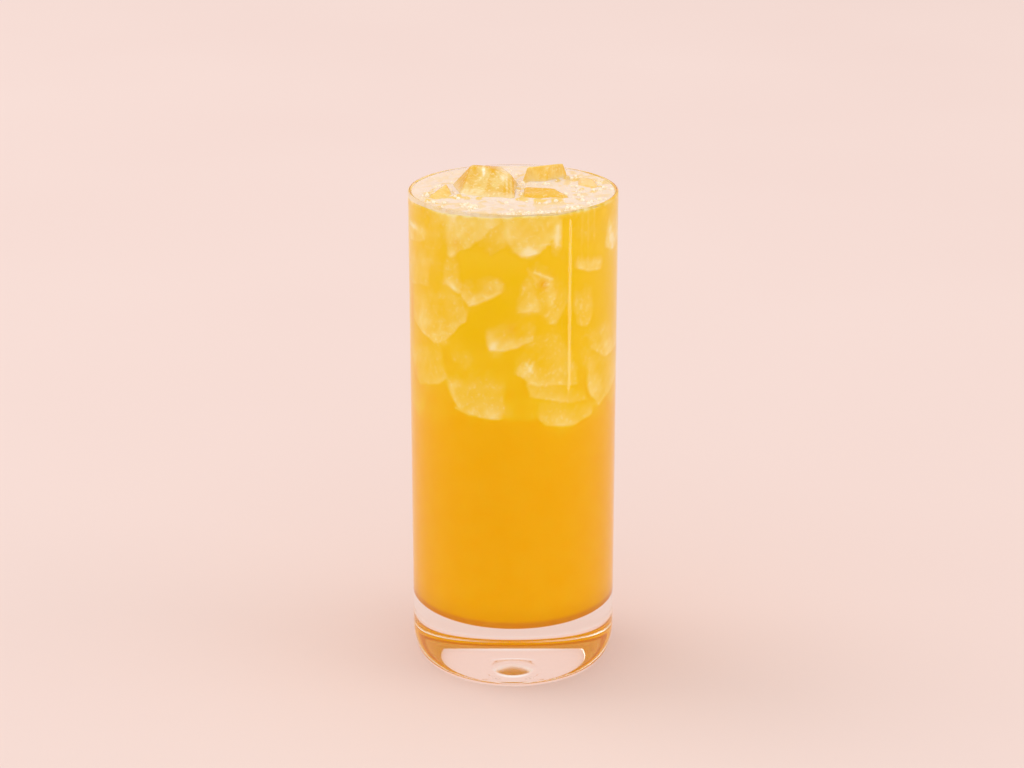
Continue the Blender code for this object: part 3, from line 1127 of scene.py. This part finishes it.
# %% [markdown]
# ## Bubbles
# Bubbles gather in clusters near the front wall and around the feet of the
# ice. Each is a small globe sunk to its middle in the foam, with few faces,
# because hundreds of them are joined into one mesh. Many places are drawn, and
# a place is kept more often where bubbles gather.

# %% Bubbles on the foam
BUBBLE_COUNT = 520
BUBBLE_TRIES = 9000
BUBBLE_SMALL = 0.14 * MM
BUBBLE_LARGE = 0.8 * MM
BUBBLE_FEW_LARGE = 3.6
BUBBLE_GRID = (6, 12)
# How often a place is kept: anywhere, and more near the ice, with a reach and a least gap
KEPT_ANYWHERE = 0.02
KEPT_AT_ICE = 0.3
ICE_REACH = 1.3 * MM
ICE_GAP = 0.2 * MM
OUTERMOST = 0.985
WALL_GAP = 0.05 * MM
# Clusters near the front wall: angle in degrees, distance from the wall and half width in mm
CLUSTERS = [(0, 1.6, 2.2), (7, 1.2, 1.6), (15, 1.8, 2.6), (23, 1.0, 1.8), (-28, 5.5, 2.0), (-36, 7.0, 1.6),
            (40, 2.0, 2.2), (-58, 1.5, 1.8), (62, 2.5, 2.0)]


def bubble_places(draw):
    """Draw places on the foam, keep those near the front wall or near ice, and pick their sizes."""
    tries = BUBBLE_TRIES
    radius = BORE * np.sqrt(draw.uniform(0, 1, tries)) * OUTERMOST
    angle = draw.uniform(-np.pi, np.pi, tries)
    x, y = radius * np.sin(angle), -radius * np.cos(angle)
    points = np.stack([x, y, np.full(tries, FOAM_TOP)], axis=-1)
    near = nearness(points)
    inward = (BORE - radius) / MM
    wanted = KEPT_ANYWHERE + KEPT_AT_ICE * np.exp(-near / ICE_REACH)
    for middle, depth, half_width in CLUSTERS:
        gap = np.hypot(across_wall(angle, middle), inward - depth)
        wanted += np.exp(-(gap / half_width) ** 2)
    kept = (draw.uniform(0, 1, tries) < wanted) & (near > ICE_GAP)
    places = np.flatnonzero(kept)[:BUBBLE_COUNT]
    size = BUBBLE_SMALL + (BUBBLE_LARGE - BUBBLE_SMALL) * draw.uniform(0, 1, len(places)) ** BUBBLE_FEW_LARGE
    size = np.minimum(size, np.maximum(BORE - radius[places] - WALL_GAP, BUBBLE_SMALL))
    return np.column_stack([x[places], y[places], foam_height(x[places], y[places])]), size


draw = np.random.default_rng(19)
spots, sizes = bubble_places(draw)
ball = directions(*BUBBLE_GRID)
bubbles = globes("bubbles", [spot + ball * size for spot, size in zip(spots, sizes)])
print(len(spots), "bubbles,", len(bubbles.data.polygons), "faces")

# %% [markdown]
# ## Finishes
# Each material is a Principled shader with a few pattern nodes in front of it.
# The patterns read Object coordinates, which are real metres here, so a noise
# of scale 200 has features of about five millimetres. One helper makes the
# shader and sets its plain values, and a second mixes two colours by a noise.

# %% Material helpers
def finish_of(name, **values):
    """A new material with a Principled shader and its plain values."""
    material = bpy.data.materials.new(name)
    material.use_nodes = True
    shader = material.node_tree.nodes["Principled BSDF"]
    for label, value in values.items():
        shader.inputs[label.replace("_", " ")].default_value = value
    return material, material.node_tree, shader


def add_node(tree, kind, **values):
    """Add a node and set its properties or its inputs by name."""
    node = tree.nodes.new(kind)
    for label, value in values.items():
        if label in node.bl_rna.properties:
            setattr(node, label, value)
        else:
            node.inputs[label.replace("_", " ")].default_value = value
    return node


def noise_at(tree, scale, detail=3.0, roughness=0.5):
    """Noise on Object coordinates, as a factor from 0 to 1."""
    place = add_node(tree, "ShaderNodeTexCoord")
    noise = add_node(tree, "ShaderNodeTexNoise", Scale=scale, Detail=detail, Roughness=roughness)
    tree.links.new(place.outputs["Object"], noise.inputs["Vector"])
    return noise.outputs["Fac"]


def ramp(tree, factor, low, high, first, second):
    """Spread a factor between low and high over two values."""
    node = add_node(tree, "ShaderNodeMapRange", From_Min=low, From_Max=high, To_Min=first, To_Max=second)
    tree.links.new(factor, node.inputs["Value"])
    return node.outputs["Result"]


def pattern(tree, scale, low, high, first, second, detail=3.0, roughness=0.5):
    """Noise whose part between low and high is spread over two values."""
    return ramp(tree, noise_at(tree, scale, detail, roughness), low, high, first, second)


def mixed(tree, factor, first, second):
    """Mix two colours, each given as a socket or as a linear colour."""
    node = add_node(tree, "ShaderNodeMix", data_type="RGBA")
    if hasattr(factor, "is_linked"):
        tree.links.new(factor, node.inputs[0])
    else:
        node.inputs[0].default_value = factor
    for slot, colour in ((6, first), (7, second)):
        if hasattr(colour, "is_linked"):
            tree.links.new(colour, node.inputs[slot])
        else:
            node.inputs[slot].default_value = (*colour, 1.0)
    return node.outputs[2]


def bumped(tree, shader, height, distance, strength=1.0):
    """Relief from a height factor, in metres."""
    bump = add_node(tree, "ShaderNodeBump", Strength=strength, Distance=distance)
    tree.links.new(height, bump.inputs["Height"])
    tree.links.new(bump.outputs["Normal"], shader.inputs["Normal"])


# %% [markdown]
# ## Clear glass
# The tumbler is colourless soda glass: it lets all light through and bends it
# by an index of 1.5. Rays from the lamps would stop at it, because a path
# tracer finds no straight way through a bending surface, so for those rays
# the glass is swapped for plain transparency, and the drink inside is lit.
# The dimple underneath is faintly frosted, so it shows as a soft spot.

# %% Glass material
glass, tree, shader = finish_of(
    "clear polished glass", Base_Color=(0.985, 0.99, 0.985, 1), Roughness=0.0, IOR=1.5,
    Transmission_Weight=1.0)
shader.inputs["Specular Tint"].default_value = (0.2, 0.2, 0.2, 1)
output = tree.nodes["Material Output"]
clear = add_node(tree, "ShaderNodeBsdfTransparent", Color=(0.97, 0.97, 0.97, 1))
path = add_node(tree, "ShaderNodeLightPath")
either = add_node(tree, "ShaderNodeMath", operation="MAXIMUM")
swap = add_node(tree, "ShaderNodeMixShader")
tree.links.new(path.outputs["Is Shadow Ray"], either.inputs[0])
tree.links.new(path.outputs["Is Diffuse Ray"], either.inputs[1])
tree.links.new(either.outputs[0], swap.inputs[0])
tree.links.new(shader.outputs[0], swap.inputs[1])
tree.links.new(clear.outputs[0], swap.inputs[2])
tree.links.new(swap.outputs[0], output.inputs["Surface"])

# %% Frost in the dimple
FROST_LEVELS = (3 * MM, 4 * MM)
place = add_node(tree, "ShaderNodeTexCoord")
flat = add_node(tree, "ShaderNodeVectorMath", operation="MULTIPLY")
flat.inputs[1].default_value = (1, 1, 0)
tree.links.new(place.outputs["Object"], flat.inputs[0])
radius = add_node(tree, "ShaderNodeVectorMath", operation="LENGTH")
tree.links.new(flat.outputs[0], radius.inputs[0])
height = add_node(tree, "ShaderNodeSeparateXYZ")
tree.links.new(place.outputs["Object"], height.inputs[0])
under = ramp(tree, height.outputs["Z"], *FROST_LEVELS, first=1.0, second=0.0)
frost = add_node(tree, "ShaderNodeMath", operation="MULTIPLY")
tree.links.new(under, frost.inputs[0])
middle = ramp(tree, radius.outputs["Value"], DIMPLE_RADIUS, FROST_EDGE, DIMPLE_FROST, 0.0)
tree.links.new(middle, frost.inputs[1])
tree.links.new(frost.outputs[0], shader.inputs["Roughness"])
tumbler.data.materials.append(glass)
print("glass bends light by", shader.inputs["IOR"].default_value, "and is frosted out to",
      round(FROST_EDGE / MM, 1), "mm")

# %% [markdown]
# ## Cloudy tea
# The tea takes its colour, with the painted shade and highlights in it, from the attribute. A faint cloud of
# pulp lies over it all, and pale specks show where ice is near the wall.

# %% Tea finish
PULP_COLOUR = srgb(251, 204, 44)
SPECK_COLOUR = srgb(253, 232, 166)
tea_finish, tree, shader = finish_of("cloudy juice tea", Roughness=0.45, Subsurface_Weight=0.2)
shader.inputs["Specular IOR Level"].default_value = 0.0
shader.inputs["Subsurface Radius"].default_value = (1.0, 0.5, 0.12)
shader.inputs["Subsurface Scale"].default_value = 1 * MM
own = add_node(tree, "ShaderNodeAttribute", attribute_name="tea_colour_and_painted_light")
pulp = pattern(tree, scale=260, detail=4.0, low=0.35, high=0.7, first=0.0, second=0.16)
body = mixed(tree, pulp, own.outputs["Color"], PULP_COLOUR)
specks = add_node(tree, "ShaderNodeMath", operation="MULTIPLY")
fine_noise = pattern(tree, scale=850, roughness=0.6, low=0.55, high=0.7, first=0.0, second=0.5)
tree.links.new(fine_noise, specks.inputs[0])
over_ice_and_highlights = ramp(tree, own.outputs["Alpha"], low=0.15, high=0.7, first=0.0, second=1.0)
tree.links.new(over_ice_and_highlights, specks.inputs[1])
body = mixed(tree, specks.outputs[0], body, SPECK_COLOUR)
tree.links.new(body, shader.inputs["Base Color"])
tea.data.materials.append(tea_finish)
print("tea finish:", len(tree.nodes), "nodes")

# %% [markdown]
# ## Wet ice
# The ice that stands out is wet and waxy: pale where it is thin and deep yellow
# where tea lies behind it, with fine pale grains and a darker mottling. The
# same finish, with less gloss, is on the ice that is sunk.

# %% Ice finish
MOTTLE_COLOUR = srgb(228, 176, 40)
GRAIN_COLOUR = srgb(246, 228, 176)


def ice_finish(name, specular, relief):
    """Wet ice: its colours from the attribute, mottled and grained, with a soft relief."""
    material, tree, shader = finish_of(name, Roughness=0.14, Subsurface_Weight=0.15, IOR=1.31)
    shader.inputs["Specular IOR Level"].default_value = specular
    shader.inputs["Subsurface Radius"].default_value = (1.0, 0.6, 0.2)
    shader.inputs["Subsurface Scale"].default_value = 1.5 * MM
    own = add_node(tree, "ShaderNodeAttribute", attribute_name="ice_colour")
    mottle = pattern(tree, scale=520, detail=4.0, roughness=0.65, low=0.36, high=0.5, first=0.45, second=0.0)
    body = mixed(tree, mottle, own.outputs["Color"], MOTTLE_COLOUR)
    grains = pattern(tree, scale=1000, detail=4.0, roughness=0.65, low=0.54, high=0.68, first=0.0, second=0.6)
    body = mixed(tree, grains, body, GRAIN_COLOUR)
    tree.links.new(body, shader.inputs["Base Color"])
    bumped(tree, shader, noise_at(tree, scale=380, detail=2.0), distance=relief, strength=0.6)
    return material


sunk_ice.data.materials.append(ice_finish("ice under the tea", specular=0.1, relief=0.1 * MM))
wet_ice = ice_finish("wet broken ice", specular=0.55, relief=0.22 * MM)
for chunk in emerging.values():
    chunk.data.materials.append(wet_ice)
print("ice finish on", 1 + len(emerging), "pieces")

# %% [markdown]
# ## Colours of the chunks
# Each flat face of a chunk has a drawn tone of its own, between a deep and a pale yellow, and a painted
# highlight makes the faces that turn up paler. Soft waves cloud it, thin upright streaks cross it, and the
# foot fades to cream in the foam. The palest tones go over to near white, a painted highlight. The peak has a
# few marks of its own: a bright streak that is a painted highlight, deep corners and dark upright stripes at
# the right.

# %% Tints and marks
FOOT_SHARE = 0.3
FOOT_STRENGTH = 0.7
FOOT_UNEVEN = 0.5
STREAK_WIDTH = 0.22
STREAK_STRETCH = np.array([1, 1, 0.12])
STREAK_TONE = 0.3
BASE_TONE = -0.1
FACE_TONE = 0.75
UPPER_FACE_HIGHLIGHT = 0.2
# Waves as above, and two that stand alone: size in mm and number of sines
TONE_WAVES = [(0.35, 1.3, 6), (0.25, 0.5, 6)]
STREAK_WAVES = (0.55, 3)
FOOT_WAVES = (0.6, 5)
FOOT_COLOUR = srgb(234, 212, 166)
# A painted highlight, for the palest tones
GLEAM_COLOUR = srgb(250, 238, 208)
GLEAM_TONE = 1.2
ICE_TINTS = {
    "ice_peak": (srgb(222, 170, 26), srgb(228, 198, 118)),
    "ice_back": (srgb(236, 186, 48), srgb(240, 208, 122)),
    "ice_left": (srgb(230, 182, 52), srgb(234, 202, 118)),
    "ice_low": (srgb(226, 174, 14), srgb(230, 190, 70)),
    "ice_right": (srgb(236, 192, 96), srgb(238, 208, 144)),
}

# Each mark: place across and up the chunk as shares of its size, half sizes, and change of tone
PEAK_MARKS = [
    # The first mark, a narrow bright streak, is a painted highlight
    (0.48, 0.86, 0.022, 0.14, 2.0),
    (0.36, 0.88, 0.07, 0.2, -0.9),
    (0.63, 0.88, 0.06, 0.16, -1.0),
    (0.80, 0.70, 0.10, 0.24, 1.1),
    (0.28, 0.55, 0.07, 0.30, -0.6),
    (0.80, 0.28, 0.014, 0.28, -1.0),
    (0.86, 0.28, 0.016, 0.28, -1.1),
    (0.92, 0.26, 0.014, 0.26, -1.0),
    (0.83, 0.28, 0.012, 0.26, 0.6),
    (0.89, 0.28, 0.012, 0.26, 0.6),
    (0.14, 0.10, 0.16, 0.22, 0.8),
    (0.40, 0.20, 0.12, 0.15, 0.5),
    (0.66, 0.50, 0.05, 0.30, 0.5),
]
print(len(ICE_TINTS), "pairs of tints and", len(PEAK_MARKS), "marks")


# %% Paint the chunks
def marked(points, marks):
    """Sum of soft marks over the width and the height of a chunk above the foam."""
    low, high = points.min(axis=0), points.max(axis=0)
    across = (points[:, 0] - low[0]) / (high[0] - low[0])
    up = (points[:, 2] - FOAM_TOP) / (high[2] - FOAM_TOP)
    total = np.zeros(len(points))
    for place, level, half_width, half_height, change in marks:
        total += change * np.exp(-((across - place) / half_width) ** 2 - ((up - level) / half_height) ** 2)
    return total


def facet_tone(points, middle, planes, draw):
    """A drawn tone for the face of the chunk that each point lies on, with a painted highlight on faces that
    turn up.
    """
    normals, offsets = planes
    face = ((points - middle) @ normals.T - offsets).argmax(axis=1)
    # Faces that turn up get a painted highlight
    tones = draw.uniform(0.0, FACE_TONE, len(offsets)) + UPPER_FACE_HIGHLIGHT * normals[:, 2]
    return tones[face]


def ice_colours(name, points, draw):
    """Deep and pale yellow by face and cloud, upright streaks, painted highlights on upturned faces and in
    the gleam, and cream at the foot in the foam.
    """
    middle, planes = solids_of_ice[name]
    deep, pale = ICE_TINTS[name]
    tone = facet_tone(points, middle, planes, draw)
    tone += wave_sum(points, TONE_WAVES, draw)
    streak = np.exp(-(waves(draw, *STREAK_WAVES)(points * STREAK_STRETCH) / STREAK_WIDTH) ** 2)
    tone += STREAK_TONE * streak + BASE_TONE
    if name == "ice_peak":
        tone += marked(points, PEAK_MARKS)
    colour = towards(np.tile(deep, (len(points), 1)), pale, tone)
    # The gleam is a painted highlight: the palest tones go over to near white
    colour = towards(colour, GLEAM_COLOUR, tone - GLEAM_TONE)
    top = points[:, 2].max()
    foot = 1 - (points[:, 2] - FOAM_TOP) / (FOOT_SHARE * (top - FOAM_TOP))
    foot += FOOT_UNEVEN * waves(draw, *FOOT_WAVES)(points)
    return towards(colour, FOOT_COLOUR, FOOT_STRENGTH * soft_step(foot))


for number, (name, chunk) in enumerate(emerging.items()):
    points = vectors(chunk.data.vertices, "co")
    tints = ice_colours(name, points, np.random.default_rng(60 + number))
    paint(chunk, "ice_colour", tints)
    print(name, "mean colour", tints.mean(axis=0).round(2))

# %% Paint the sunk ice
SUNK_DEEP = srgb(246, 192, 66)
SUNK_PALE = srgb(250, 212, 118)
SUNK_WAVES = (2.0, 6)
sunk_points = vectors(sunk_ice.data.vertices, "co")
sunk_tone = 0.5 + 0.5 * waves(np.random.default_rng(59), *SUNK_WAVES)(sunk_points)
sunk_tints = towards(np.tile(SUNK_DEEP, (len(sunk_points), 1)), SUNK_PALE, sunk_tone)
paint(sunk_ice, "ice_colour", sunk_tints)
print("sunk ice mean colour", sunk_tints.mean(axis=0).round(2))

# %% [markdown]
# ## Foam and bubbles
# The foam takes its colours from the attribute, with fine darker pores and a
# small relief of the same scale. The bubbles are smooth and shiny, and their
# cream varies a little from one to the next.

# %% Foam and bubble finishes
PORE_COLOUR = srgb(240, 204, 140)
BUBBLE_CREAM = srgb(252, 240, 220)
BUBBLE_WARM = srgb(248, 228, 190)
foam_finish, tree, shader = finish_of("pale foam", Roughness=0.5, Subsurface_Weight=0.15)
shader.inputs["Subsurface Radius"].default_value = (1.0, 0.7, 0.4)
shader.inputs["Subsurface Scale"].default_value = 2 * MM
own = add_node(tree, "ShaderNodeAttribute", attribute_name="foam_colour_and_painted_light")
pores = pattern(tree, scale=1300, roughness=0.6, low=0.55, high=0.75, first=0.0, second=0.5)
body = mixed(tree, pores, own.outputs["Color"], PORE_COLOUR)
tree.links.new(body, shader.inputs["Base Color"])
bumped(tree, shader, noise_at(tree, scale=1300), distance=0.15 * MM, strength=0.7)
froth.data.materials.append(foam_finish)

bubble_finish, tree, shader = finish_of("shiny bubbles", Roughness=0.05)
tint = pattern(tree, scale=900, detail=2.0, low=0.4, high=0.6, first=0.0, second=1.0)
body = mixed(tree, tint, BUBBLE_CREAM, BUBBLE_WARM)
tree.links.new(body, shader.inputs["Base Color"])
bubbles.data.materials.append(bubble_finish)
print("finishes:", foam_finish.name, "and", bubble_finish.name)

# %% [markdown]
# ## Floor, light and camera
# The stage is a plain pale floor that reaches past the horizon of every view.
# The light is a soft studio set: a large lamp high up at the left, another high
# up at the right, and a pale sky that is pinker low behind the tumbler. A narrow
# upright lamp at the right gives the thin bright line down the wall. The camera
# looks down by about nineteen degrees through a long lens.

# %% Floor
FLOOR_RADIUS = 12.0
FLOOR_DROP = 0.2 * MM
FLOOR_THICKNESS = 0.05
FLOOR_SIDES = 96
FLOOR_DEEP = (0.755, 0.632, 0.602)
FLOOR_PALE = (0.77, 0.652, 0.622)
rings = np.array([0.0, 0.1, 0.5, 2.0, FLOOR_RADIUS, FLOOR_RADIUS, 0.0])
levels = np.array([0, 0, 0, 0, 0, -FLOOR_THICKNESS, -FLOOR_THICKNESS]) - FLOOR_DROP
floor = globe("studio_floor", turned(np.column_stack([rings, levels]), FLOOR_SIDES))
floor.data.shade_flat()
floor_finish, tree, shader = finish_of("pale floor", Roughness=0.7)
shader.inputs["Specular IOR Level"].default_value = 0.0
shade = pattern(tree, scale=3, detail=2.0, low=0.3, high=0.7, first=0.0, second=1.0)
body = mixed(tree, shade, FLOOR_DEEP, FLOOR_PALE)
tree.links.new(body, shader.inputs["Base Color"])
floor.data.materials.append(floor_finish)
print("floor:", 2 * FLOOR_RADIUS, "m wide")


# %% Lamps
def lamp(name, place, target, size, power, colour):
    """A soft area lamp at a place, facing a target."""
    data = bpy.data.lights.new(name, "AREA")
    data.shape = "RECTANGLE"
    data.size, data.size_y = size
    data.energy = power
    data.color = colour
    thing = bpy.data.objects.new(name, data)
    thing.location = place
    aim = np.array(target) - np.array(place)
    thing.rotation_euler = Vector(aim).to_track_quat("-Z", "Y").to_euler()
    thing.visible_camera = False
    bpy.context.scene.collection.objects.link(thing)
    return thing


WARM = (1.0, 0.97, 0.95)
# Each lamp: name, place and target in metres, width and height in metres, and power in watts
LAMPS = [
    ("key", (-1.6, 0.6, 2.4), (0, 0, 0.08), (1.6, 1.6), 14),
    ("fill", (2.2, -0.6, 1.7), (0, 0, 0.08), (1.4, 1.4), 7),
    ("strip", (0.2695, -0.1466, 0.036), (0, 0, 0.036), (0.020, 0.112), 0.06),
]
lamps = {row[0]: lamp(*row, WARM) for row in LAMPS}
lamps["strip"].visible_diffuse = False
print("lamps:", ", ".join(lamps))

# %% Sky
SKY_PALE = (1.0, 0.975, 0.955)
SKY_PINK = (0.845, 0.59, 0.51)
SKY_STRENGTH = 1.09
world = bpy.data.worlds.new("pale sky")
world.use_nodes = True
sky = world.node_tree
direction = add_node(sky, "ShaderNodeTexCoord")
parts = add_node(sky, "ShaderNodeSeparateXYZ")
sky.links.new(direction.outputs["Generated"], parts.inputs[0])
behind = ramp(sky, parts.outputs["Y"], low=0.1, high=0.4, first=0.0, second=1.0)
low_down = ramp(sky, parts.outputs["Z"], low=0.62, high=0.85, first=1.0, second=0.0)
both = add_node(sky, "ShaderNodeMath", operation="MULTIPLY")
sky.links.new(behind, both.inputs[0])
sky.links.new(low_down, both.inputs[1])
colour = mixed(sky, both.outputs[0], SKY_PALE, SKY_PINK)
sky.links.new(colour, sky.nodes["Background"].inputs["Color"])
sky.nodes["Background"].inputs["Strength"].default_value = SKY_STRENGTH
bpy.context.scene.world = world
print("sky strength", SKY_STRENGTH)

# %% Camera
CAMERA_BACK = 0.6951
CAMERA_UP = 0.3251
CAMERA_SIDE = -0.35 * MM
CAMERA_DOWN = math.radians(18.78)
LENS = 84.6
MOST_BOUNCES = 24
camera_data = bpy.data.cameras.new("camera")
camera_data.lens = LENS
camera_data.sensor_width = 36.0
camera = bpy.data.objects.new("camera", camera_data)
camera.location = (CAMERA_SIDE, -CAMERA_BACK, CAMERA_UP)
camera.rotation_euler = (math.pi / 2 - CAMERA_DOWN, 0, 0)
bpy.context.scene.collection.objects.link(camera)
bpy.context.scene.camera = camera
bpy.context.scene.view_settings.view_transform = "Standard"
bpy.context.scene.cycles.max_bounces = MOST_BOUNCES
bpy.context.scene.cycles.transmission_bounces = MOST_BOUNCES
bpy.context.scene.cycles.glossy_bounces = MOST_BOUNCES
print("camera:", LENS, "mm lens, looking down", round(math.degrees(CAMERA_DOWN), 1), "degrees")

# %% [markdown]
# ## What stands for what
# Every piece rides on the one body, and the solids that the pieces stand for are hidden.

# %% Riding and replacing
for chunk_name, chunk in emerging.items():
    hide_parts(chunk_name)
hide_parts("glass")
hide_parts("drink")
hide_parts("foam")
for piece in [tumbler, tea, froth, bubbles, sunk_ice, *emerging.values()]:
    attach(piece, "root")
